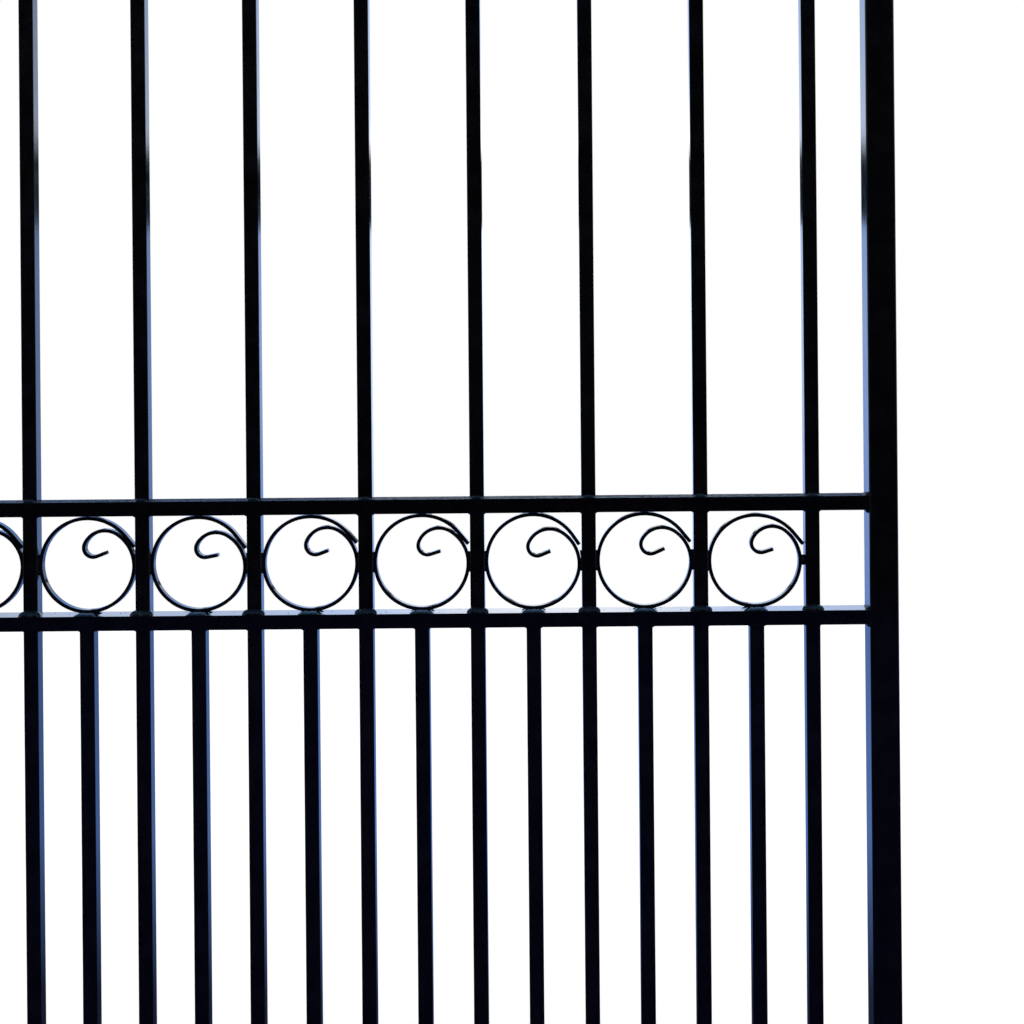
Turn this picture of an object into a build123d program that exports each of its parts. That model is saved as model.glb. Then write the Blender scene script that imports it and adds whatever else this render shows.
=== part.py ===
"""One leaf of a double swing driveway gate, with the hinge post that carries it.

Millimetres. The origin is the centre of the post's base plate, on its underside.
+X runs along the closed leaf to its free stile, -Y is the front, +Y is the side the
leaf swings to, and +Z is up. The second leaf of the pair is this one mirrored in X.
"""
from build123d import *
import math
import os

# Steel sections
BAR = 20.0                # square bar
BAR_WALL = 1.5
BAR_CORNER = 1.2          # flat on each outside corner of the small tubes
FRAME = 40.0              # square tube of the stiles and of the top and bottom rails
FRAME_WALL = 2.0
FRAME_CORNER = 3.0        # outside corner radius of the rolled tube
BAND_RAIL_H = 20.0        # band rails are as deep as the frame and this high
BAND_RAIL_WALL = 2.0
CAP_T = 2.0               # plate welded in the top of each stile
POST = 80.0
POST_WALL = 3.0
POST_CORNER = 5.0

# Leaf
BAY = 155.0               # centre to centre of the full-height bars
RING_BAYS = 10
GROUND_GAP = 75.0         # under the leaf
LEAF_H = 1650.0
BAND_Z = 705.0            # from the foot of the leaf to the underside of the lower band rail
BAND_CLEAR = 138.0        # between the two band rails
PIERCE_FIT = 0.5          # round a bar where it passes through a band rail

# Ring scroll, bent from one flat bar
FLAT_T = 5.0
FLAT_D = 12.0
RING_SIDE_FIT = 0.25      # between a ring and the bar beside it
RING_LIFT = 2.0           # under a ring, filled by its weld
TAIL_ANGLE = 44.0         # where the straight tail leaves the circle, from +X
TAIL_GAP = 2.7            # between the end of the tail and the bar
LAP_ANGLE = -12.0         # where the closing turn starts to draw inwards
LAP_DRAW = 2.35           # how far it draws in, in thicknesses of the flat bar
LAP_END = 57.0
CURL_R = 30.5
CURL_END = 158.0
HOOK_R = 14.0
HOOK_END = 295.0
TIP_L = 14.0
SIDE_WELD = 28.0
FOOT_WELD = 32.0

# Post, base plate and cap
POST_RISE = 50.0          # post tube above the top of the leaf
PLATE = 200.0
PLATE_T = 12.0
PLATE_CORNER = 8.0
BOLT_SPACING = 150.0
BOLT_HOLE_D = 18.0
CAP_FIT = 0.5
CAP_SHEET = 2.0
CAP_SKIRT = 22.0
CAP_PEAK = 24.0
CAP_TIP = 6.0             # flat on the peak

# Hinges
HINGE_GAP = 25.0          # between post and leaf
BARREL_D = 24.0
BARREL_H = 60.0
PIN_D = 14.0
PIN_FIT = 0.05            # round the pin
WASHER_T = 2.0
WASHER_FIT = 0.3          # under the leaf's barrel
PIN_PROUD = 4.0           # the pin stops this far under the top of the leaf's barrel
STRAP_T = 5.0
STRAP_REACH = 32.0        # of each strap over the tube it is welded to
HINGE_INSET = 240.0       # from each end of the leaf to the middle of its hinge

# Worked out from the sizes above
LEAF_X = POST / 2 + HINGE_GAP
LEAF_FRONT = POST / 2 - FRAME
LEAF_BACK = POST / 2
LEAF_MID = LEAF_FRONT + FRAME / 2
FIRST_BAR = LEAF_X + FRAME + BAY / 2
BAR_X = [FIRST_BAR + BAY * i for i in range(RING_BAYS + 1)]
BAY_X = [x + BAY / 2 for x in BAR_X[:-1]]
FREE_X = BAR_X[-1] + BAY / 2
LEAF_TOP = GROUND_GAP + LEAF_H
TOP_RAIL_Z = LEAF_TOP - FRAME
BOTTOM_RAIL_TOP = GROUND_GAP + FRAME
LOWER_BAND_Z = GROUND_GAP + BAND_Z
LOWER_BAND_TOP = LOWER_BAND_Z + BAND_RAIL_H
UPPER_BAND_Z = LOWER_BAND_TOP + BAND_CLEAR
POST_TOP = LEAF_TOP + POST_RISE
RING_OUT_R = (BAY - BAR) / 2 - RING_SIDE_FIT
RING_R = RING_OUT_R - FLAT_T / 2
RING_Z = LOWER_BAND_TOP + RING_LIFT + RING_OUT_R
LAP_R = RING_R - LAP_DRAW * FLAT_T
TAIL_REACH = (BAY - BAR) / 2 - TAIL_GAP
TAIL_L = (TAIL_REACH - RING_OUT_R * math.cos(math.radians(TAIL_ANGLE))) / math.sin(math.radians(TAIL_ANGLE))
HINGE_X = POST / 2 + HINGE_GAP / 2
HINGE_Y = LEAF_BACK + BARREL_D / 2
HINGE_Z = {"lower": GROUND_GAP + HINGE_INSET, "upper": LEAF_TOP - HINGE_INSET}


def box(x0, x1, y0, y1, z0, z1):
    """A block between two corners."""
    low = (Align.MIN, Align.MIN, Align.MIN)
    return Pos(x0, y0, z0) * Box(x1 - x0, y1 - y0, z1 - z0, align=low)


def rolled(width, depth, corner):
    """The outline of a large tube, with round corners."""
    return RectangleRounded(width, depth, corner)


def drawn(width, depth, corner):
    """The outline of a small tube, whose tight corners are flats."""
    outline = Rectangle(width, depth)
    return chamfer(outline.vertices(), corner)


def tube(outline, width, depth, wall, length):
    """A tube standing on the XY plane, open at both ends."""
    inside = Rectangle(width - 2 * wall, depth - 2 * wall)
    return extrude(outline - inside, amount=length)


def upright(x, z0, z1):
    """A square bar from z0 to z1, in the middle of the leaf's thickness."""
    return Pos(x, LEAF_MID, z0) * tube(drawn(BAR, BAR, BAR_CORNER), BAR, BAR, BAR_WALL, z1 - z0)


def rail(outline, height, wall, z0):
    """A tube between the stiles, with its underside at z0."""
    x0 = LEAF_X + FRAME
    lying = Rot(0, 90, 0) * tube(outline, height, FRAME, wall, FREE_X - x0)
    return Pos(x0, LEAF_MID, z0 + height / 2) * lying


def frame_rail(z0):
    """The top or bottom rail of the frame."""
    return rail(rolled(FRAME, FRAME, FRAME_CORNER), FRAME, FRAME_WALL, z0)


def band_rail(z0):
    """A band rail, pierced by square holes that the full-height bars pass through."""
    hole = BAR + 2 * PIERCE_FIT
    solid = rail(drawn(BAND_RAIL_H, FRAME, BAR_CORNER), BAND_RAIL_H, BAND_RAIL_WALL, z0)
    punches = [Pos(x, LEAF_MID, z0 + BAND_RAIL_H / 2) * Box(hole, hole, 2 * BAND_RAIL_H) for x in BAR_X]
    return solid - punches


def stile(x0):
    """An upright of the frame, closed at the top by a welded plate."""
    middle = Pos(x0 + FRAME / 2, LEAF_MID, 0)
    outline = rolled(FRAME, FRAME, FRAME_CORNER)
    walls = middle * Pos(0, 0, GROUND_GAP) * tube(outline, FRAME, FRAME, FRAME_WALL, LEAF_H)
    inside = FRAME - 2 * FRAME_WALL
    plate = Box(inside, inside, CAP_T, align=(Align.CENTER, Align.CENTER, Align.MAX))
    return walls + middle * Pos(0, 0, LEAF_TOP) * plate


def scroll_edge(side):
    """One long edge of the scroll, from the tail's end to the tip of the hook.

    The flat bar runs straight, turns once round the circle, draws in under its own
    tail, curls and ends in a short straight tip. side is 1 for the edge on the inside
    of the bends and -1 for the other.
    """
    out = Vector(math.cos(math.radians(TAIL_ANGLE)), math.sin(math.radians(TAIL_ANGLE)))
    along = Vector(-out.Y, out.X)
    leave = out * (RING_R - side * FLAT_T / 2)
    pieces = [Line(leave - along * TAIL_L, leave)]
    bends = [
        (RING_R, 360 + LAP_ANGLE - TAIL_ANGLE),
        (LAP_R, LAP_END - LAP_ANGLE),
        (CURL_R, CURL_END - LAP_END),
        (HOOK_R, HOOK_END - CURL_END),
    ]
    for radius, sweep_angle in bends:
        last = pieces[-1]
        pieces.append(JernArc(last @ 1, last % 1, radius - side * FLAT_T / 2, sweep_angle))
    last = pieces[-1]
    pieces.append(Line(last @ 1, (last @ 1) + (last % 1) * TIP_L))
    return pieces


def scroll_profile():
    """The scroll seen from the front, about its own centre."""
    inner = scroll_edge(1)
    outer = scroll_edge(-1)
    ends = [Line(inner[0] @ 0, outer[0] @ 0), Line(inner[-1] @ 1, outer[-1] @ 1)]
    return make_face([*inner, *outer, *ends])


def weld_profile():
    """Weld metal that fills the wedges beside and under a ring."""
    reach = (BAY - BAR) / 2
    sides = Rectangle(2 * reach, SIDE_WELD)
    foot = Pos(0, -(RING_OUT_R + RING_LIFT) / 2) * Rectangle(FOOT_WELD, RING_OUT_R + RING_LIFT)
    return sides + foot - Circle(RING_R)


def ring_scroll(x):
    """A ring scroll in its bay, with the welds that hold it."""
    flat = extrude(scroll_profile() + weld_profile(), amount=FLAT_D / 2, both=True)
    return Plane(origin=(x, LEAF_MID, RING_Z), x_dir=(1, 0, 0), z_dir=(0, -1, 0)) * flat


def base_plate():
    """The plate that is bolted to the footing."""
    outline = RectangleRounded(PLATE, PLATE, PLATE_CORNER)
    holes = GridLocations(BOLT_SPACING, BOLT_SPACING, 2, 2) * Circle(BOLT_HOLE_D / 2)
    return extrude(outline - holes, amount=PLATE_T)


def post_tube():
    """The post, standing on its base plate."""
    outline = rolled(POST, POST, POST_CORNER)
    return Pos(0, 0, PLATE_T) * tube(outline, POST, POST, POST_WALL, POST_TOP - PLATE_T)


def pyramid(half_width, height, tip):
    """A block of the given height that narrows from a square to a small flat."""
    width = 2 * half_width
    near = half_width - tip / 2
    far = half_width + tip / 2
    foot_down = (Align.CENTER, Align.MIN, Align.CENTER)
    return Rot(90, 0, 0) * Wedge(width, height, width, near, near, far, far, align=foot_down)


def post_cap():
    """A pyramid cap that slips over the post and rests on the tube's wall."""
    bore = POST / 2 + CAP_FIT
    skirt_z = POST_TOP - CAP_SKIRT
    outside = box(-bore - CAP_SHEET, bore + CAP_SHEET, -bore - CAP_SHEET, bore + CAP_SHEET,
                  skirt_z, POST_TOP + CAP_SHEET)
    outside += Pos(0, 0, POST_TOP + CAP_SHEET) * pyramid(bore + CAP_SHEET, CAP_PEAK, CAP_TIP)
    inside = box(-bore, bore, -bore, bore, skirt_z, POST_TOP)
    inside += Pos(0, 0, POST_TOP) * pyramid(POST / 2 - POST_WALL, CAP_PEAK, CAP_TIP)
    return outside - inside


def hinge_post_half(middle):
    """The fixed half: strap, barrel, thrust washer and the pin pressed into the barrel."""
    z0 = middle - BARREL_H - WASHER_T
    axis = Pos(HINGE_X, HINGE_Y, z0)
    low = (Align.CENTER, Align.CENTER, Align.MIN)
    strap = box(POST / 2 - STRAP_REACH, HINGE_X, LEAF_BACK, LEAF_BACK + STRAP_T, z0, z0 + BARREL_H)
    barrel = axis * Cylinder(BARREL_D / 2, BARREL_H + WASHER_T, align=low)
    pin_h = 2 * BARREL_H + WASHER_T + WASHER_FIT - PIN_PROUD
    pin = axis * Cylinder(PIN_D / 2, pin_h, align=low)
    return strap + barrel + pin


def hinge_leaf_half(middle):
    """The moving half: a strap and a barrel that turns on the pin."""
    z0 = middle + WASHER_FIT
    axis = Pos(HINGE_X, HINGE_Y, z0)
    low = (Align.CENTER, Align.CENTER, Align.MIN)
    strap = box(HINGE_X, LEAF_X + STRAP_REACH, LEAF_BACK, LEAF_BACK + STRAP_T, z0, z0 + BARREL_H)
    barrel = axis * Cylinder(BARREL_D / 2, BARREL_H, align=low)
    bore = axis * Cylinder(PIN_D / 2 + PIN_FIT, BARREL_H, align=low)
    return strap + barrel - bore


def gate():
    """Every piece of the gate by its name."""
    pieces = {
        "base_plate": base_plate(),
        "post_tube": post_tube(),
        "post_cap": post_cap(),
        "hinge_stile": stile(LEAF_X),
        "free_stile": stile(FREE_X),
        "top_rail": frame_rail(TOP_RAIL_Z),
        "bottom_rail": frame_rail(GROUND_GAP),
        "band_upper_rail": band_rail(UPPER_BAND_Z),
        "band_lower_rail": band_rail(LOWER_BAND_Z),
    }
    for place, middle in HINGE_Z.items():
        pieces[f"hinge_{place}_post_half"] = hinge_post_half(middle)
        pieces[f"hinge_{place}_leaf_half"] = hinge_leaf_half(middle)
    for number, x in enumerate(BAR_X, start=1):
        pieces[f"bar_{number:02d}"] = upright(x, BOTTOM_RAIL_TOP, TOP_RAIL_Z)
    for number, x in enumerate(BAY_X, start=1):
        pieces[f"dog_bar_{number:02d}"] = upright(x, BOTTOM_RAIL_TOP, LOWER_BAND_Z)
    half = RING_BAYS // 2
    pieces["ring_scrolls_hinge_half"] = Part() + [ring_scroll(x) for x in BAY_X[:half]]
    pieces["ring_scrolls_free_half"] = Part() + [ring_scroll(x) for x in BAY_X[half:]]
    return pieces


os.makedirs("parts", exist_ok=True)
for name, piece in gate().items():
    export_step(piece, f"parts/{name}.step")
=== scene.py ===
"""Looks of one leaf of a double swing driveway gate and its hinge post.

Metres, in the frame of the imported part: +X along the leaf, -Y its front, +Z up.
"""

import math

import bpy
import numpy as np
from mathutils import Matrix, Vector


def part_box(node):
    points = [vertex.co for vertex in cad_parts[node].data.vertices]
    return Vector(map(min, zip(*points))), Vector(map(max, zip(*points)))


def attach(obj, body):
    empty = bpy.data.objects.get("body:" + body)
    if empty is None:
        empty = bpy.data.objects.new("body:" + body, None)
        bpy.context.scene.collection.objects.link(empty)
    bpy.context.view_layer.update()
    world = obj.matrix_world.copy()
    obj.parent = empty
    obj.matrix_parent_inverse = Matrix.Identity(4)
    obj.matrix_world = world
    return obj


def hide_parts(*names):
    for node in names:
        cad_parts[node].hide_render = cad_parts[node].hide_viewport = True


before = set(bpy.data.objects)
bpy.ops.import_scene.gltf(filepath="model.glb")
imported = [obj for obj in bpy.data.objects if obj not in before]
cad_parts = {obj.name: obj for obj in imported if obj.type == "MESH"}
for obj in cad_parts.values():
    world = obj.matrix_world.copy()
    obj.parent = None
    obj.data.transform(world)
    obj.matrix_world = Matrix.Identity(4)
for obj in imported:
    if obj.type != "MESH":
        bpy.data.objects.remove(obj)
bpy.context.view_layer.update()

# Camera. It stands level and square to the leaf, two metres in front of it and above
# the ring band, near the free stile. The picture is shifted, not tilted, so that the
# bars stay upright, and rolled by half the slope that the rails have in the picture.
PICTURE = 1024
METRES_TO_PIXEL = 0.001380
LENS_FOOT_X = 560
LENS_FOOT_Y = 350
STILE_EDGE_X = 869.7
RAIL_EDGE_Y = 612.7
ROLL_DRIFT = 1.6
STAND_OFF = 2.0
ROLL = math.radians(0.5)

camera_data = bpy.data.cameras.new("camera")
camera = bpy.data.objects.new("camera", camera_data)
bpy.context.scene.collection.objects.link(camera)
bpy.context.scene.camera = camera
camera_data.sensor_width = 36.0
camera_data.lens = STAND_OFF / METRES_TO_PIXEL * camera_data.sensor_width / PICTURE
camera_data.shift_x = (PICTURE / 2 - LENS_FOOT_X) / PICTURE
camera_data.shift_y = (LENS_FOOT_Y - PICTURE / 2) / PICTURE
stile_low, stile_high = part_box("free_stile")
rail_low, rail_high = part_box("band_lower_rail")
camera.location = (
    stile_low.x + (LENS_FOOT_X - STILE_EDGE_X + ROLL_DRIFT) * METRES_TO_PIXEL,
    stile_low.y - STAND_OFF,
    rail_high.z + (RAIL_EDGE_Y - LENS_FOOT_Y) * METRES_TO_PIXEL,
)
camera.rotation_euler = (math.pi / 2, ROLL, 0)

# Floor and light. The sky is plain white to the eye. Gloss mirrors another one: blue
# overhead, pale over a dark far line, and dim in front, which turns the front faces
# black and the faces seen edge-on blue. The tones are stops over the height (z) and the
# depth (y) of the direction.
bpy.context.scene.view_settings.view_transform = "Standard"
SKY_LEVEL = 0.85
HEIGHT_LOW = -0.2
HEIGHT_TONES = (
    (-0.20, (0.30, 0.50, 1.05, 1)),
    (0.081, (0.42, 0.62, 1.10, 1)),
    (0.087, (0.002, 0.006, 0.016, 1)),
    (0.128, (0.003, 0.008, 0.020, 1)),
    (0.142, (0.92, 1.08, 1.36, 1)),
    (0.400, (0.28, 0.62, 1.40, 1)),
    (0.950, (0.08, 0.42, 1.15, 1)),
)
DEPTH_LOW = -1.0
DEPTH_TONES = (
    (-0.80, (0.002, 0.002, 0.004, 1)),
    (-0.35, (0.34, 0.30, 0.22, 1)),
    (0.20, (0.46, 0.40, 0.30, 1)),
    (0.880, (0.50, 0.44, 0.36, 1)),
    (0.935, (0.78, 0.78, 0.80, 1)),
    (0.960, (0.78, 0.78, 0.80, 1)),
    (0.980, (0.88, 0.91, 1.00, 1)),
    (0.982, (1.10, 1.04, 1.00, 1)),
    (0.987, (1.95, 1.56, 1.12, 1)),
    (0.993, (2.60, 2.10, 1.50, 1)),
)


def link(tree, source, target):
    """Joins an output socket to an input socket."""
    tree.links.new(source, target)


def toned(tree, value, low, tones):
    """A colour ramp over a value that runs from low to 1, with a stop for each tone."""
    share = tree.nodes.new("ShaderNodeMapRange")
    share.inputs["From Min"].default_value = low
    link(tree, value, share.inputs["Value"])
    ramp = tree.nodes.new("ShaderNodeValToRGB")
    link(tree, share.outputs[0], ramp.inputs[0])
    stops = ramp.color_ramp.elements
    for number, (at, colour) in enumerate(tones):
        stop = stops[number] if number < 1 else stops.new((at - low) / (1 - low))
        stop.position = (at - low) / (1 - low)
        stop.color = colour
    stops.remove(stops[-1])
    return ramp.outputs[0]


world = bpy.data.worlds.new("sky")
bpy.context.scene.world = world
world.use_nodes = True
sky = world.node_tree
sky.nodes.clear()
ray = sky.nodes.new("ShaderNodeLightPath")
direction = sky.nodes.new("ShaderNodeTexCoord")
parts = sky.nodes.new("ShaderNodeSeparateXYZ")
link(sky, direction.outputs["Generated"], parts.inputs[0])
mirrored = sky.nodes.new("ShaderNodeMix")
mirrored.data_type = "RGBA"
mirrored.blend_type = "MULTIPLY"
mirrored.inputs[0].default_value = 1.0
link(sky, toned(sky, parts.outputs["Z"], HEIGHT_LOW, HEIGHT_TONES), mirrored.inputs[6])
link(sky, toned(sky, parts.outputs["Y"], DEPTH_LOW, DEPTH_TONES), mirrored.inputs[7])
lit = sky.nodes.new("ShaderNodeBackground")
lit.inputs["Color"].default_value = (1, 1, 1, 1)
lit.inputs["Strength"].default_value = SKY_LEVEL
gloss = sky.nodes.new("ShaderNodeBackground")
link(sky, mirrored.outputs[2], gloss.inputs["Color"])
white = sky.nodes.new("ShaderNodeBackground")
white.inputs["Color"].default_value = (1, 1, 1, 1)
by_gloss = sky.nodes.new("ShaderNodeMixShader")
link(sky, ray.outputs["Is Glossy Ray"], by_gloss.inputs[0])
link(sky, lit.outputs[0], by_gloss.inputs[1])
link(sky, gloss.outputs[0], by_gloss.inputs[2])
by_eye = sky.nodes.new("ShaderNodeMixShader")
link(sky, ray.outputs["Is Camera Ray"], by_eye.inputs[0])
link(sky, by_gloss.outputs[0], by_eye.inputs[1])
link(sky, white.outputs[0], by_eye.inputs[2])
sky_out = sky.nodes.new("ShaderNodeOutputWorld")
link(sky, by_eye.outputs[0], sky_out.inputs[0])

# The floor is pale and takes the soft shadow. Gloss sees a blue patch of it behind the
# leaf, which fades to a dim floor round it. The patch's tones are stops over the share
# of its reach.
FLOOR_HALF = 4.5
FLOOR_GREY = 0.80
FLOOR_LIFT = 0.36
PATCH_CENTRE = (1.4, 3.0, 0.0)
PATCH_REACH = 4.0
PATCH_TONES = (
    (0.0, (0.13, 0.25, 0.62, 1)),
    (0.38, (0.13, 0.25, 0.62, 1)),
    (0.60, (0.02, 0.03, 0.07, 1)),
    (0.85, (0.003, 0.005, 0.030, 1)),
)
floor_mesh = bpy.data.meshes.new("floor")
floor_corners = [(-FLOOR_HALF, -FLOOR_HALF, 0), (FLOOR_HALF, -FLOOR_HALF, 0)]
floor_corners += [(FLOOR_HALF, FLOOR_HALF, 0), (-FLOOR_HALF, FLOOR_HALF, 0)]
floor_mesh.from_pydata(floor_corners, [], [(0, 1, 2, 3)])
floor = bpy.data.objects.new("floor", floor_mesh)
bpy.context.scene.collection.objects.link(floor)
floor_paint = bpy.data.materials.new("pale_floor")
floor_paint.use_nodes = True
tree = floor_paint.node_tree
tree.nodes.clear()
ray = tree.nodes.new("ShaderNodeLightPath")
matt = tree.nodes.new("ShaderNodeBsdfDiffuse")
matt.inputs["Color"].default_value = (FLOOR_GREY, FLOOR_GREY, FLOOR_GREY, 1)
lift = tree.nodes.new("ShaderNodeEmission")
lift.inputs["Strength"].default_value = FLOOR_LIFT
nothing = tree.nodes.new("ShaderNodeEmission")
nothing.inputs["Strength"].default_value = 0.0
for_eye = tree.nodes.new("ShaderNodeMixShader")
link(tree, ray.outputs["Is Camera Ray"], for_eye.inputs[0])
link(tree, nothing.outputs[0], for_eye.inputs[1])
link(tree, lift.outputs[0], for_eye.inputs[2])
both = tree.nodes.new("ShaderNodeAddShader")
link(tree, matt.outputs[0], both.inputs[0])
link(tree, for_eye.outputs[0], both.inputs[1])
where = tree.nodes.new("ShaderNodeNewGeometry")
from_patch = tree.nodes.new("ShaderNodeVectorMath")
from_patch.operation = "DISTANCE"
from_patch.inputs[1].default_value = PATCH_CENTRE
link(tree, where.outputs["Position"], from_patch.inputs[0])
shrink = tree.nodes.new("ShaderNodeMath")
shrink.operation = "DIVIDE"
shrink.inputs[1].default_value = PATCH_REACH
link(tree, from_patch.outputs["Value"], shrink.inputs[0])
in_gloss = tree.nodes.new("ShaderNodeEmission")
link(tree, toned(tree, shrink.outputs[0], 0.0, PATCH_TONES), in_gloss.inputs["Color"])
seen = tree.nodes.new("ShaderNodeMixShader")
link(tree, ray.outputs["Is Glossy Ray"], seen.inputs[0])
link(tree, both.outputs[0], seen.inputs[1])
link(tree, in_gloss.outputs[0], seen.inputs[2])
floor_out = tree.nodes.new("ShaderNodeOutputMaterial")
link(tree, seen.outputs[0], floor_out.inputs["Surface"])
floor_mesh.materials.append(floor_paint)

# One large soft lamp stands in front, high and to the left.
KEY_WATTS = 60.0
KEY_SIZE = 3.0
KEY_PLACE = (-0.8, -2.6, 3.6)
KEY_TILT = math.radians(38)
KEY_TURN = math.radians(-30)
key_data = bpy.data.lights.new("key", "AREA")
key_data.shape = "SQUARE"
key_data.size = KEY_SIZE
key_data.energy = KEY_WATTS
key = bpy.data.objects.new("key", key_data)
bpy.context.scene.collection.objects.link(key)
key.location = KEY_PLACE
key.rotation_euler = (KEY_TILT, 0, KEY_TURN)
key.visible_glossy = False


# Black gloss paint, sprayed on all the steel. It is almost black, with a fine orange
# peel, broader waves where it flowed, and a hard clear surface that mirrors strongly
# only when it is seen edge-on. Dust dulls it a little on faces that look up.
PEEL_SCALE = 620.0
FLOW_SCALE = 38.0
DEEP_BLACK = (0.0005, 0.0005, 0.0010, 1)
THIN_BLACK = (0.0011, 0.0012, 0.0024, 1)
DUST_COLOUR = (0.030, 0.036, 0.052, 1)
PAINT_IOR = 1.52
COAT_IOR = 1.55
COAT_ROUGHNESS = 0.045


def black_paint(
    name, rough=(0.10, 0.20), peel=0.00002, flow=0.00010, dust=0.25, grain=1.0, coat=1.0
):
    """A gloss paint. Colour and roughness wander with a slow noise, and the bump adds a
    fine noise for orange peel to a slow one for flow. Dust follows the upward normal."""
    made = bpy.data.materials.new(name)
    made.use_nodes = True
    tree = made.node_tree
    shader = tree.nodes["Principled BSDF"]
    shader.inputs["IOR"].default_value = PAINT_IOR
    shader.inputs["Coat Weight"].default_value = coat
    shader.inputs["Coat Roughness"].default_value = COAT_ROUGHNESS
    shader.inputs["Coat IOR"].default_value = COAT_IOR
    place = tree.nodes.new("ShaderNodeTexCoord")
    slow = tree.nodes.new("ShaderNodeTexNoise")
    slow.inputs["Scale"].default_value = FLOW_SCALE
    slow.inputs["Detail"].default_value = 4.0
    link(tree, place.outputs["Object"], slow.inputs["Vector"])
    fine = tree.nodes.new("ShaderNodeTexNoise")
    fine.inputs["Scale"].default_value = PEEL_SCALE * grain
    fine.inputs["Detail"].default_value = 2.0
    link(tree, place.outputs["Object"], fine.inputs["Vector"])
    tone = tree.nodes.new("ShaderNodeValToRGB")
    tone.color_ramp.elements[0].position = 0.35
    tone.color_ramp.elements[0].color = DEEP_BLACK
    tone.color_ramp.elements[1].position = 0.70
    tone.color_ramp.elements[1].color = THIN_BLACK
    link(tree, slow.outputs["Fac"], tone.inputs[0])
    facing = tree.nodes.new("ShaderNodeNewGeometry")
    split = tree.nodes.new("ShaderNodeSeparateXYZ")
    link(tree, facing.outputs["Normal"], split.inputs[0])
    upward = tree.nodes.new("ShaderNodeMapRange")
    upward.inputs["From Min"].default_value = 0.5
    upward.inputs["From Max"].default_value = 1.0
    upward.inputs["To Max"].default_value = dust
    link(tree, split.outputs["Z"], upward.inputs["Value"])
    specks = tree.nodes.new("ShaderNodeMath")
    specks.operation = "MULTIPLY"
    link(tree, upward.outputs[0], specks.inputs[0])
    link(tree, fine.outputs["Fac"], specks.inputs[1])
    dusted = tree.nodes.new("ShaderNodeMix")
    dusted.data_type = "RGBA"
    dusted.inputs[7].default_value = DUST_COLOUR
    link(tree, specks.outputs[0], dusted.inputs[0])
    link(tree, tone.outputs[0], dusted.inputs[6])
    link(tree, dusted.outputs[2], shader.inputs["Base Color"])
    dull = tree.nodes.new("ShaderNodeMapRange")
    dull.inputs["From Min"].default_value = 0.3
    dull.inputs["From Max"].default_value = 0.7
    dull.inputs["To Min"].default_value = rough[0]
    dull.inputs["To Max"].default_value = rough[1]
    link(tree, slow.outputs["Fac"], dull.inputs["Value"])
    link(tree, dull.outputs[0], shader.inputs["Roughness"])
    waves = tree.nodes.new("ShaderNodeBump")
    waves.inputs["Distance"].default_value = flow
    link(tree, slow.outputs["Fac"], waves.inputs["Height"])
    skin_bump = tree.nodes.new("ShaderNodeBump")
    skin_bump.inputs["Distance"].default_value = peel
    link(tree, fine.outputs["Fac"], skin_bump.inputs["Height"])
    link(tree, waves.outputs[0], skin_bump.inputs["Normal"])
    link(tree, skin_bump.outputs[0], shader.inputs["Normal"])
    link(tree, skin_bump.outputs[0], shader.inputs["Coat Normal"])
    return made


# Hinge post: an 80 mm square tube welded to a bolted-down plate, with a pyramid cap
# slipped over the top. The solids have the true shape and take the finish alone.
post_paint = black_paint("post_paint", flow=0.00016, dust=0.35)
plate_paint = black_paint("plate_paint", rough=(0.18, 0.34), peel=0.00004, dust=0.7)


def spray(names, finish):
    """Gives a finish to solids that keep their shape."""
    for name in names:
        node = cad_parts[name]
        node.data.materials.clear()
        node.data.materials.append(finish)


spray(("post_tube", "post_cap"), post_paint)
spray(("base_plate",), plate_paint)

# Frame of the leaf: 40 mm square tube. The stiles run full height, the top and bottom
# rails are cut between them. The solids stay and take the paint.
frame_paint = black_paint("frame_paint")
spray(("hinge_stile", "free_stile", "top_rail", "bottom_rail"), frame_paint)

# Hinges: two barrel hinges, the pin pressed in the post's half. Turned and sawn steel
# under the same paint, a little rougher where the halves rub.
hinge_paint = black_paint("hinge_paint", rough=(0.16, 0.30), peel=0.00003, grain=0.7)
spray(("hinge_lower_post_half", "hinge_upper_post_half"), hinge_paint)
spray(("hinge_lower_leaf_half", "hinge_upper_leaf_half"), hinge_paint)


# Uprights: square bars that run from the bottom rail to the top rail through both band
# rails, and short ones up to the lower band rail. Drawn tube with small round corners,
# straightened by hand, so each has a bow and a twist too slight to measure.
BAR_RADIUS = 0.0011
CORNER_STEPS = 6
SHOULDER = 0.0003
UPRIGHT_STATIONS = 40
BOW = 0.00035
TWIST = math.radians(0.35)


def rounded_outline(half_a, half_b, radius, steps=CORNER_STEPS, shoulder=SHOULDER):
    """Points round a rectangle with circular corners: four quarter turns of the given
    radius about the corner centres, each with a point a shoulder's length before and
    after it, which keeps the flats flat in the shading. Rows are (a, b)."""
    quarter = np.linspace(0, math.pi / 2, steps)
    turns = [quarter + k * math.pi / 2 for k in range(4)]
    signs = [(1, 1), (-1, 1), (-1, -1), (1, -1)]
    rows = []
    for angles, (sa, sb) in zip(turns, signs):
        centre = np.array([sa * (half_a - radius), sb * (half_b - radius)])
        arc = centre + radius * np.stack([np.cos(angles), np.sin(angles)], axis=1)
        lead = arc[0] - shoulder * np.array([-math.sin(angles[0]), math.cos(angles[0])])
        tail = arc[-1] + shoulder * np.array([-math.sin(angles[-1]), math.cos(angles[-1])])
        rows.append(np.vstack([lead, arc, tail]))
    return np.vstack(rows)


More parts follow.
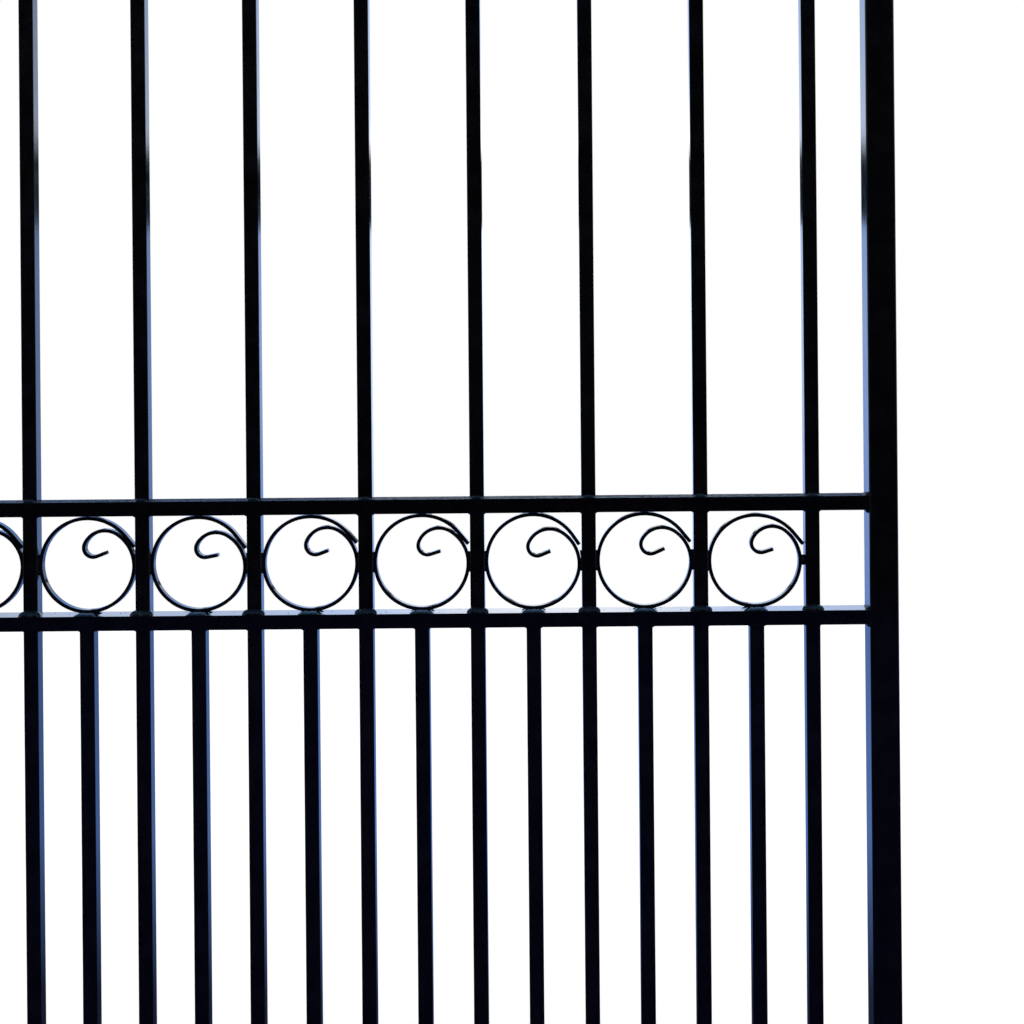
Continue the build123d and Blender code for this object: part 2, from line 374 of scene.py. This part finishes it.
def skin(name, grids, finish, body, looped=False):
    """One mesh from grids of points shaped (along, around, 3), each closed round itself.
    Quads join neighbours. The ends are closed by a face, or joined when looped. Each
    grid's faces are turned outwards by the sign of the volume that they enclose."""
    all_points, all_faces, smooth, base = [], [], [], 0
    for grid in grids:
        along, around = grid.shape[:2]
        index = np.arange(along * around).reshape(along, around)
        rows = index if looped else index[:-1]
        ahead = np.roll(index, -1, axis=0) if looped else index[1:]
        corners = [rows, ahead, np.roll(ahead, -1, axis=1), np.roll(rows, -1, axis=1)]
        quads = np.stack(corners, axis=-1).reshape(-1, 4)
        points = grid.reshape(-1, 3)
        centred = points - points.mean(0)
        a, b, c, d = (centred[quads[:, k]] for k in range(4))
        volume = np.einsum("ij,ij->i", np.cross(a, b), c).sum()
        volume += np.einsum("ij,ij->i", np.cross(a, c), d).sum()
        faces = [tuple(q) for q in (quads if volume > 0 else quads[:, ::-1]).tolist()]
        flags = [True] * len(faces)
        if not looped:
            ends = [tuple(index[0].tolist()), tuple(index[-1][::-1].tolist())]
            faces += ends if volume > 0 else [end[::-1] for end in ends]
            flags += [False, False]
        all_points.append(points)
        all_faces += [tuple(i + base for i in face) for face in faces]
        smooth += flags
        base += len(points)
    mesh = bpy.data.meshes.new(name)
    mesh.from_pydata(np.vstack(all_points).tolist(), [], all_faces)
    mesh.polygons.foreach_set("use_smooth", smooth)
    mesh.materials.append(finish)
    mesh.update()
    piece = bpy.data.objects.new(name, mesh)
    bpy.context.scene.collection.objects.link(piece)
    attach(piece, body)
    return piece


def upright_grid(low, high, seed):
    """A rounded square carried up z. Its centre bows as half a sine wave and its section
    turns evenly from end to end."""
    draw = np.random.default_rng(seed)
    bow_x, bow_y, turn = draw.uniform(-1, 1, 3) * (BOW, BOW, TWIST)
    height = high.z - low.z
    inner = np.linspace(SHOULDER, height - SHOULDER, UPRIGHT_STATIONS)
    z = np.concatenate([[0.0], inner, [height]])
    share = z / height
    outline = rounded_outline((high.x - low.x) / 2, (high.y - low.y) / 2, BAR_RADIUS)
    angle = turn * (share - 0.5)
    cos, sin = np.cos(angle)[:, None], np.sin(angle)[:, None]
    across = cos * outline[:, 0] - sin * outline[:, 1]
    deep = sin * outline[:, 0] + cos * outline[:, 1]
    bulge = np.sin(math.pi * share)[:, None]
    grid = np.empty((len(z), len(outline), 3))
    grid[..., 0] = (low.x + high.x) / 2 + bow_x * bulge + across
    grid[..., 1] = (low.y + high.y) / 2 + bow_y * bulge + deep
    grid[..., 2] = (low.z + z)[:, None]
    return grid


bar_paint = black_paint("bar_paint")
bar_names = sorted(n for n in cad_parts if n.startswith("bar_"))
dog_names = sorted(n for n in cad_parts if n.startswith("dog_bar_"))
for seed, name in enumerate(bar_names + dog_names):
    grid = upright_grid(*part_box(name), seed)
    piece = skin(name.replace("bar", "upright"), [grid], bar_paint, "leaf")
    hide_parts(name)

# Band rails: two flat tubes, 40 mm deep and 20 mm high, pierced by the long bars and
# butted between the stiles.
RAIL_STATIONS = 60
RAIL_RADIUS = 0.0008
rail_paint = black_paint("rail_paint", rough=(0.05, 0.10), flow=0.00006)


def rail_grid(low, high):
    """A rounded rectangle carried along x."""
    length = high.x - low.x
    x = np.concatenate([[0.0], np.linspace(SHOULDER, length - SHOULDER, RAIL_STATIONS), [length]])
    outline = rounded_outline((high.y - low.y) / 2, (high.z - low.z) / 2, RAIL_RADIUS)
    grid = np.empty((len(x), len(outline), 3))
    grid[..., 0] = (low.x + x)[:, None]
    grid[..., 1] = (low.y + high.y) / 2 + outline[:, 0]
    grid[..., 2] = (low.z + high.z) / 2 + outline[:, 1]
    return grid


for name in ("band_lower_rail", "band_upper_rail"):
    grid = rail_grid(*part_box(name))
    piece = skin(name + "_tube", [grid], rail_paint, "leaf")
    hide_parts(name)

# Ring scrolls: each is one length of 5 by 12 mm flat bar bent by hand round a former.
# It starts in a straight tail, turns once round the ring, closes inside its own tail,
# and curls into a small hook with a straight tip. No two are quite alike.
FLAT_T = 0.005
FLAT_D = 0.012
FLAT_EDGE = 0.0009
SIDE_FIT = 0.00025
RING_LIFT = 0.002
PATH_STEP = 0.0007
BEND_BLEND = 9
WAVER_CYCLES = (5, 9, 14, 23)
THICK_WAVER = 0.05
DEEP_WAVER = 0.02
END_EASE = 0.72
SCROLL_SEED = 100
OPEN_TO = 100.0
# Each row, in millimetres and degrees: turn, ring radius, angle and length of the tail,
# radius of the opening arc, which runs to OPEN_TO, start, radius and end of the lap,
# radius and end of the curl, radius and end of the hook, length of the tip.
RING_SHAPES = (
    (0.8, 64.75, 39.5, 20.0, 67.0, -6.0, 52.4, 57.0, 30.6, 158.0, 12.9, 290.0, 13.8),
    (-1.6, 64.75, 40.0, 19.5, 67.6, -5.5, 52.9, 55.6, 31.2, 156.0, 13.2, 289.0, 14.6),
    (0.3, 64.75, 39.2, 20.4, 66.8, -6.6, 52.0, 57.6, 30.2, 159.0, 12.8, 288.0, 13.1),
    (-0.9, 64.75, 39.8, 19.8, 67.3, -5.0, 52.6, 56.4, 30.9, 157.0, 13.0, 290.5, 14.9),
    (-4.6, 64.75, 42.4, 23.0, 64.8, -10.8, 50.1, 65.1, 30.0, 156.9, 12.5, 287.7, 15.8),
    (2.0, 64.75, 39.2, 18.5, 68.8, -2.7, 53.3, 53.6, 31.6, 153.4, 13.4, 289.6, 13.9),
    (-0.1, 64.75, 39.6, 20.3, 67.1, -6.6, 52.2, 57.4, 30.4, 158.5, 13.0, 289.1, 14.6),
    (-3.6, 64.75, 38.3, 16.7, 66.4, -14.2, 51.8, 59.8, 32.1, 159.7, 12.9, 298.8, 14.4),
    (-3.0, 64.75, 42.3, 20.3, 65.6, -6.7, 51.1, 58.4, 31.8, 154.3, 13.5, 295.3, 15.7),
    (1.6, 63.00, 37.7, 20.3, 68.9, -2.0, 52.0, 51.2, 30.3, 153.4, 13.1, 286.6, 13.9),
)
scroll_paint = black_paint("scroll_paint", peel=0.00003, flow=0.00022)

bar_boxes = [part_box(name) for name in bar_names]
ring_r = (bar_boxes[1][0].x - bar_boxes[0][1].x) / 2 - SIDE_FIT - FLAT_T / 2
ring_z = rail_high.z + RING_LIFT + ring_r + FLAT_T / 2
ring_y = (rail_low.y + rail_high.y) / 2
ring_xs = [(a[1].x + b[0].x) / 2 for a, b in zip(bar_boxes[:-1], bar_boxes[1:])]


def scroll_path(shape):
    """The scroll's centre line about the ring's centre, as rows of (x, z), and its
    heading. The curvature is a step for each stretch, softened by a short running mean.
    Its running sum is the heading, and the running sum of unit steps along the heading
    is the line."""
    turn, ring, leave, tail, opening = shape[:5]
    lap_from, lap, lap_to, curl, curl_to, hook, hook_to, tip = shape[5:]
    stretches = [
        (tail, 0.0),
        (opening * math.radians(OPEN_TO - leave), 1 / opening),
        (ring * math.radians(360 + lap_from - OPEN_TO), 1 / ring),
        (lap * math.radians(lap_to - lap_from), 1 / lap),
        (curl * math.radians(curl_to - lap_to), 1 / curl),
        (hook * math.radians(hook_to - curl_to), 1 / hook),
        (tip, 0.0),
    ]
    lengths = 0.001 * np.array([length for length, _ in stretches])
    bends = 1000 * np.array([bend for _, bend in stretches])
    count = int(round(lengths.sum() / PATH_STEP))
    step = lengths.sum() / count
    middle = (np.arange(count) + 0.5) * step
    curvature = bends[np.searchsorted(np.cumsum(lengths), middle).clip(max=len(bends) - 1)]
    padded = np.pad(curvature, BEND_BLEND // 2, mode="edge")
    curvature = np.convolve(padded, np.ones(BEND_BLEND) / BEND_BLEND, "valid")
    start_at = math.radians(leave)
    heading = start_at + math.pi / 2 + np.concatenate([[0.0], np.cumsum(curvature * step)])
    between = (heading[:-1] + heading[1:]) / 2
    walk = np.cumsum(np.stack([np.cos(between), np.sin(between)], axis=1) * step, axis=0)
    radial = np.array([math.cos(start_at), math.sin(start_at)])
    tangent = np.array([-math.sin(start_at), math.cos(start_at)])
    meeting = np.array([math.cos(math.radians(OPEN_TO)), math.sin(math.radians(OPEN_TO))])
    first = (ring - opening) * meeting + opening * radial - tail * tangent
    line = 0.001 * first + np.vstack([[0.0, 0.0], walk])
    spin = math.radians(turn)
    rotate = np.array([[math.cos(spin), math.sin(spin)], [-math.sin(spin), math.cos(spin)]])
    return line @ rotate, heading + spin


def scroll_grid(x, z, shape, seed):
    """The flat bar's rounded section carried along the scroll. Its thickness and its
    depth waver by a few hundredths as hammered bar does, and both ends are eased."""
    line, heading = scroll_path(shape)
    draw = np.random.default_rng(seed)
    share = np.linspace(0, 1, len(line))
    waver = np.zeros(len(line))
    for cycles in WAVER_CYCLES:
        waver += draw.uniform(-0.25, 0.25) * np.sin(2 * math.pi * (cycles * share + draw.uniform()))
    outline = rounded_outline(FLAT_T / 2, FLAT_D / 2, FLAT_EDGE, steps=4)
    ease = np.ones(len(line))
    ease[[0, -1]] = END_EASE
    thick = (1 + THICK_WAVER * waver) * ease
    deep = (1 + DEEP_WAVER * waver) * (0.5 + 0.5 * ease)
    normal = np.stack([np.sin(heading), -np.cos(heading)], axis=1)
    grid = np.empty((len(line), len(outline), 3))
    across = thick[:, None] * outline[:, 0]
    grid[..., 0] = x + line[:, 0, None] + normal[:, 0, None] * across
    grid[..., 1] = ring_y + deep[:, None] * outline[:, 1]
    grid[..., 2] = z + line[:, 1, None] + normal[:, 1, None] * across
    return grid


half_of_rings = len(ring_xs) // 2
for number, (x, shape) in enumerate(zip(ring_xs, RING_SHAPES)):
    short = 0.001 * shape[1] - ring_r
    grid = scroll_grid(x + short, ring_z + short, shape, SCROLL_SEED + number)
    piece = skin(f"ring_{number + 1:02d}", [grid], scroll_paint, "leaf")
    at_hinge = number < half_of_rings
    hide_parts("ring_scrolls_hinge_half" if at_hinge else "ring_scrolls_free_half")

# Welds. Short runs of bead join everything, painted with the rest. A bead lies in the
# corner between two pieces and shows a quarter of its rounded section, rippled where
# each puddle froze over the last.
RIPPLE = 0.0021
RIPPLE_DEPTH = 0.05
RIPPLE_MEAN = 0.6
RIPPLE_LAG = 0.25
LUMP_CYCLES = (1, 2, 3, 5)
LUMP = 0.06
BEAD_STEP = 0.0006
BEAD_AROUND = 16
BURIED = 0.0025
BURIED_SHARE = 0.7
END_STUB = 0.03
weld_paint = black_paint("weld_paint", rough=(0.12, 0.26), peel=0.00005, flow=0.00020)


def bead(path, out, up, leg_out, leg_up, seed, leg_back=BURIED, looped=False):
    """A rippled tube about a path, whose section is a quarter of a different ellipse to
    each side. The legs along out and up are given. Ripples are a rectified sine of the
    distance, which lags round the section as a crescent does. Slow sines add lumps."""
    draw = np.random.default_rng(seed)
    gaps = np.linalg.norm(np.diff(path, axis=0), axis=1)
    along = np.concatenate([[0.0], np.cumsum(gaps)])
    total = along[-1] + (np.linalg.norm(path[0] - path[-1]) if looped else 0.0)
    share = along / total
    around = np.linspace(0, 2 * math.pi, BEAD_AROUND, endpoint=False)
    puddles = max(1, round(total / RIPPLE))
    phase = share[:, None] * puddles - RIPPLE_LAG * np.abs(np.sin(around - math.pi / 4))
    scale = 1 + RIPPLE_DEPTH * (np.abs(np.sin(math.pi * phase)) - RIPPLE_MEAN)
    for cycles in LUMP_CYCLES:
        lump = LUMP * draw.uniform(-1, 1)
        scale += lump * np.sin(2 * math.pi * (cycles * share + draw.uniform()))[:, None]
    legs = [np.broadcast_to(leg, len(path))[:, None] for leg in (leg_out, leg_back, leg_up)]
    ahead, behind, above = legs
    cos, sin = np.cos(around), np.sin(around)
    a = scale * np.where(cos > 0, ahead, behind) * cos
    b = scale * np.where(sin > 0, above, BURIED_SHARE * above) * sin
    return path[:, None, :] + a[..., None] * out[:, None, :] + b[..., None] * up[:, None, :]


def rounded_end(t, half, taper):
    """One in the middle of a run from -half to half. Over the taper at each end it falls
    as a quarter circle does, to a small stub."""
    return np.sqrt(1 - (1 - ((half - np.abs(t)) / taper).clip(END_STUB, 1)) ** 2)


def run(start, end, out, up, leg_out, leg_up, seed, fade=0.0):
    """A straight bead between two points. It loses the share called fade on the way."""
    start, end = np.array(start, float), np.array(end, float)
    length = np.linalg.norm(end - start)
    t = np.linspace(-length / 2, length / 2, int(length / BEAD_STEP))
    path = (start + end) / 2 + t[:, None] * (end - start) / length
    ends = rounded_end(t, length / 2, leg_out) * (1 - fade * (t / length + 0.5))
    outs = np.tile(np.array(out, float), (len(t), 1))
    ups = np.tile(np.array(up, float), (len(t), 1))
    return bead(path, outs, ups, leg_out * ends, leg_up * ends, seed)


# A foot bead swings round a bar's corner within this distance of it, tapers at its ends
# and is lower there by this share. A collar's corners are quarter turns in five points.
CORNER_SWING = 0.002
FOOT_TAPER = 0.005
FOOT_DROP = 0.3
COLLAR_STEPS = 5


def foot_bead(x, y, z, half, facing, reach, side, height, wrap, seed):
    """A bead across one face of a square bar, which laps a little round both corners.
    The path follows the bar's sides. The outward normal swings a quarter turn near the
    corner. The leg on the rail falls with it as a squared cosine, and the leg on the
    bar falls as a parabola to the ends."""
    span = half + wrap
    t = np.linspace(-span, span, int(2 * span / BEAD_STEP))
    past = (np.abs(t) - half).clip(0)
    swing = ((np.abs(t) - half + CORNER_SWING) / (2 * CORNER_SWING)).clip(0, 1)
    swing = (3 * swing**2 - 2 * swing**3) * math.pi / 2
    across = x + np.sign(t) * (np.abs(t) - past)
    path = np.stack([across, y + facing * (half - past), np.full(len(t), z)], axis=1)
    out = np.stack([np.sign(t) * np.sin(swing), facing * np.cos(swing), np.zeros(len(t))], axis=1)
    up = np.tile([0.0, 0.0, 1.0], (len(t), 1))
    ends = rounded_end(t, span, FOOT_TAPER)
    leg_out = (side + (reach - side) * np.cos(swing) ** 2) * ends
    leg_up = height * (1 - FOOT_DROP * (t / span) ** 2) * ends
    return bead(path, out, up, leg_out, leg_up, seed)


def collar(x, y, z, half, radius, face_up, leg_out, leg_up, seed):
    """A bead right round a square tube with rounded corners, at a flat face. Its path is
    the tube's outline, walked in even steps, and its normal is square to that walk."""
    outline = rounded_outline(half, half, radius, steps=COLLAR_STEPS)
    loop = np.vstack([outline, outline[:1]])
    gaps = np.linalg.norm(np.diff(loop, axis=0), axis=1)
    marks = np.concatenate([[0.0], np.cumsum(gaps)])
    count = int(marks[-1] / BEAD_STEP)
    at = np.linspace(0, marks[-1], count, endpoint=False)
    across = np.interp(at, marks, loop[:, 0])
    deep = np.interp(at, marks, loop[:, 1])
    path = np.stack([x + across, y + deep, np.full(count, z)], axis=1)
    ahead = np.roll(path, -1, axis=0) - np.roll(path, 1, axis=0)
    ahead /= np.linalg.norm(ahead, axis=1)[:, None]
    out = np.stack([ahead[:, 1], -ahead[:, 0], np.zeros(count)], axis=1)
    up = np.tile([0.0, 0.0, float(face_up)], (count, 1))
    return bead(path, out, up, leg_out, leg_up, seed, looped=True)


bar_half = (bar_boxes[0][1].x - bar_boxes[0][0].x) / 2
bar_front = bar_boxes[0][0].y - rail_low.y
upper_low, upper_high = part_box("band_upper_rail")
bottom_rail_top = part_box("bottom_rail")[1].z
top_rail_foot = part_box("top_rail")[0].z
bar_xs = [(low.x + high.x) / 2 for low, high in bar_boxes]
dog_xs = [(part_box(name)[0].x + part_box(name)[1].x) / 2 for name in dog_names]

# Bar feet on the band rails, front and back: the leg on the rail, the same leg beside
# the bar, the leg on the bar, the lap round its corners, and the first seed. The lower
# rail's front beads roll over its edge.
ROLL_OVER = 0.0014
LOWER_FEET = (
    (-1, (bar_front + ROLL_OVER, 0.0052, 0.0078, 0.0035), 200),
    (1, (0.0070, 0.0030, 0.0050, -0.0010), 220),
)
UPPER_FEET = (
    (-1, (0.0070, 0.0030, 0.0046, -0.0010), 240),
    (1, (0.0060, 0.0030, 0.0042, -0.0010), 260),
)


def bar_feet(z, rows):
    """The foot beads of all the full-height bars at one rail."""
    feet = []
    for number, x in enumerate(bar_xs):
        for facing, legs, seed in rows:
            feet.append(foot_bead(x, ring_y, z, bar_half, facing, *legs, seed + number))
    return feet


lower_feet = bar_feet(rail_high.z, LOWER_FEET)
skin("lower_bar_feet", lower_feet, weld_paint, "leaf")
upper_feet = bar_feet(upper_high.z, UPPER_FEET)
skin("upper_bar_feet", upper_feet, weld_paint, "leaf")

# Collars round the bars where they meet a rail: the leg on the rail and on the bar.
UNDER_LOWER_RAIL = (0.0026, 0.0028)
UNDER_UPPER_RAIL = (0.0024, 0.0026)
DOG_BAR_HEAD = (0.0030, 0.0032)
ON_BOTTOM_RAIL = (0.0036, 0.0040)
UNDER_TOP_RAIL = (0.0030, 0.0032)


def bar_collar(x, z, face_up, legs, seed):
    """A collar round one square bar."""
    return collar(x, ring_y, z, bar_half, BAR_RADIUS, face_up, *legs, seed)


undersides = []
for number, x in enumerate(bar_xs):
    undersides.append(bar_collar(x, rail_low.z, -1, UNDER_LOWER_RAIL, 280 + number))
    undersides.append(bar_collar(x, upper_low.z, -1, UNDER_UPPER_RAIL, 300 + number))
for number, x in enumerate(dog_xs):
    undersides.append(bar_collar(x, rail_low.z, -1, DOG_BAR_HEAD, 320 + number))
skin("band_undersides", undersides, weld_paint, "leaf", looped=True)
frame_collars = []
for number, x in enumerate(bar_xs + dog_xs):
    frame_collars.append(bar_collar(x, bottom_rail_top, 1, ON_BOTTOM_RAIL, 340 + number))
for number, x in enumerate(bar_xs):
    frame_collars.append(bar_collar(x, top_rail_foot, -1, UNDER_TOP_RAIL, 370 + number))
skin("frame_bar_welds", frame_collars, weld_paint, "leaf", looped=True)

# Ring welds: metal run into the wedge between each ring and the bars beside it, and
# between the ring and the rail under it, with a low mound in front of the foot that
# rolls over the rail's edge.
SIDE_WELD = 0.030
GAP_SHORTENS = 4.2
FOOT_WELD = 0.020
MOUND_HALF = 0.0170
MOUND_RAMP = 0.0085
MOUND_RISE = 0.0041
MOUND_STUB = 0.02
MOUND_TAPER = 0.0025
FRONT_SPREAD = ring_y - FLAT_D / 2 - rail_low.y + ROLL_OVER
BACK_SPREAD = 0.007
BITE = 0.0011
PROUD = 0.0006
WEDGE_TAPER = 0.006


def wedge_bead(x, z, radius, angle, wall, length, seed):
    """A bead that fills the wedge between a circle and the straight side that it comes
    near at the given angle, at the wall's distance. Its path runs half way between
    them, and its half width is half the gap and a bite into each side. It thins
    towards both ends."""
    t = np.arange(-length / 2, length / 2 + BEAD_STEP / 2, BEAD_STEP)
    curve = np.sqrt(radius**2 - t**2)
    width = (wall - curve) / 2 + BITE
    outward = np.array([math.cos(angle), 0.0, math.sin(angle)])
    sideways = np.array([-math.sin(angle), 0.0, math.cos(angle)])
    path = np.array([x, ring_y, z]) + ((curve + wall) / 2)[:, None] * outward + t[:, None] * sideways
    out = np.tile(outward, (len(t), 1))
    up = np.tile([0.0, -1.0, 0.0], (len(t), 1))
    deep = (FLAT_D / 2 + PROUD) * rounded_end(t, length / 2, WEDGE_TAPER)
    return bead(path, out, up, width, deep, seed, leg_back=width)


ring_beads = []
for number, (x, shape) in enumerate(zip(ring_xs, RING_SHAPES)):
    reach = 0.001 * shape[1] + FLAT_T / 2
    short = 0.001 * shape[1] - ring_r
    side_wall = ring_r + FLAT_T / 2 + SIDE_FIT
    foot_wall = ring_r + FLAT_T / 2 + RING_LIFT
    middle = (x + short, ring_z + short)
    for side, angle, wall in ((0, 0.0, side_wall - short), (1, math.pi, side_wall + short)):
        length = SIDE_WELD - GAP_SHORTENS * (wall - reach)
        seed = 400 + 20 * side + number
        ring_beads.append(wedge_bead(*middle, reach, angle, wall, length, seed))
    wall = foot_wall + short
    seed = 440 + number
    ring_beads.append(wedge_bead(*middle, reach, -math.pi / 2, wall, FOOT_WELD, seed))
    t = np.linspace(-MOUND_HALF, MOUND_HALF, int(2 * MOUND_HALF / BEAD_STEP))
    rise = MOUND_RISE * ((MOUND_HALF - np.abs(t)) / MOUND_RAMP).clip(MOUND_STUB, 1)
    up = np.tile([0.0, 0.0, 1.0], (len(t), 1))
    for facing, spread in ((-1, FRONT_SPREAD), (1, BACK_SPREAD)):
        deep = np.full(len(t), ring_y + facing * FLAT_D / 2)
        path = np.stack([middle[0] + t, deep, np.full(len(t), rail_high.z)], axis=1)
        out = np.tile([0.0, float(facing), 0.0], (len(t), 1))
        width = spread * rounded_end(t, MOUND_HALF, MOUND_TAPER)
        seed = 460 + 2 * number + facing
        ring_beads.append(bead(path, out, up, width, rise, seed))
skin("ring_welds", ring_beads, weld_paint, "leaf")

# Rail ends: the rails are butted to the stiles and welded above and below, with the
# front and back ground flush.
RAIL_LEG = 0.0052
RAIL_FADE = 0.75
EDGE_IN = 0.001
joint_paint = black_paint("joint_paint", rough=(0.34, 0.50), peel=0.00008, flow=0.00030, coat=0.15)
rail_end_beads = []
for number, name in enumerate(("band_lower_rail", "band_upper_rail", "top_rail", "bottom_rail")):
    low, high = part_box(name)
    for side_number, (x, away) in enumerate(((low.x, 1.0), (high.x, -1.0))):
        for z, face_up in ((high.z, 1.0), (low.z, -1.0)):
            if name == "top_rail" and face_up > 0:
                continue
            ends = ((x, low.y + EDGE_IN, z), (x, high.y - EDGE_IN, z))
            normals = ((away, 0, 0), (0, 0, face_up))
            seed = 500 + 10 * number + 2 * side_number + int(face_up > 0)
            rail_end_beads.append(run(*ends, *normals, RAIL_LEG, RAIL_LEG, seed, RAIL_FADE))
skin("rail_end_welds", rail_end_beads, joint_paint, "leaf")

# Hinge welds: beads along the free edge and the two long edges of each strap. The post
# is welded all round to its plate.
STRAP_LEG = 0.0040
STRAP_RISE = 0.0034
STRAP_HEIGHT = 0.060
STRAP_IN = 0.003
POST_CORNER = 0.005
POST_LEGS = (0.0068, 0.0072)
hinge_beads = {"post": [], "leaf": []}
tube_low, tube_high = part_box("post_tube")
hinge_stile_low, hinge_stile_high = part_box("hinge_stile")
strap_y = {"post": tube_high.y, "leaf": hinge_stile_high.y}
strap_edge = {"post": tube_high.x, "leaf": hinge_stile_low.x}
for number, place_name in enumerate(("lower", "upper")):
    for half, away in (("post", -1.0), ("leaf", 1.0)):
        low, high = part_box(f"hinge_{place_name}_{half}_half")
        far = low.x if away < 0 else high.x
        near = strap_edge[half] + away * STRAP_IN
        y = strap_y[half]
        strap_top = low.z + STRAP_HEIGHT
        seed = 600 + 10 * number + (5 if half == "leaf" else 0)
        ends = ((far, y, low.z + EDGE_IN), (far, y, strap_top - EDGE_IN))
        end_bead = run(*ends, (away, 0, 0), (0, 1, 0), STRAP_LEG, STRAP_RISE, seed)
        ends = ((near, y, strap_top), (far, y, strap_top))
        top_bead = run(*ends, (0, 0, 1), (0, 1, 0), STRAP_LEG, STRAP_RISE, seed + 1)
        ends = ((near, y, low.z), (far, y, low.z))
        foot = run(*ends, (0, 0, -1), (0, 1, 0), STRAP_LEG, STRAP_RISE, seed + 2)
        hinge_beads[half] += [end_bead, top_bead, foot]
skin("hinge_post_welds", hinge_beads["post"], weld_paint, "hinge_post")
skin("hinge_leaf_welds", hinge_beads["leaf"], weld_paint, "leaf")
plate_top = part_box("base_plate")[1].z
post_half = (tube_high.x - tube_low.x) / 2
post_bead = collar(0.0, 0.0, plate_top, post_half, POST_CORNER, 1, *POST_LEGS, 640)
skin("post_foot_weld", [post_bead], weld_paint, "hinge_post", looped=True)

# Spatter: droplets that froze on the rails beside the welds and were painted over.
DROPS_EACH = 2
DROP_SIZE = (0.0003, 0.0008)
DROP_REACH = (0.018, 0.034)
DROP_INSET = 0.003
DROP_AROUND = 8
DROP_PROFILE = ((1.0, -0.2), (0.9, 0.35), (0.6, 0.7), (0.2, 0.85))


def droplet(x, y, z, size):
    """A flat dome: circles with the profile's radii at its heights, times the size."""
    turn = np.linspace(0, 2 * math.pi, DROP_AROUND, endpoint=False)
    radius, height = size * np.array(DROP_PROFILE).T[:, :, None]
    grid = np.empty((len(DROP_PROFILE), DROP_AROUND, 3))
    grid[..., 0] = x + radius * np.cos(turn)
    grid[..., 1] = y + radius * np.sin(turn)
    grid[..., 2] = z + height
    return grid


draw = np.random.default_rng(7)
drops = []
for x in bar_xs + ring_xs:
    for z in (rail_high.z, upper_high.z):
        for _ in range(DROPS_EACH):
            size = draw.uniform(*DROP_SIZE)
            across = x + draw.choice([-1, 1]) * draw.uniform(*DROP_REACH)
            deep = draw.uniform(rail_low.y + DROP_INSET, rail_high.y - DROP_INSET)
            drops.append(droplet(across, deep, z, size))
skin("spatter", drops, weld_paint, "leaf")
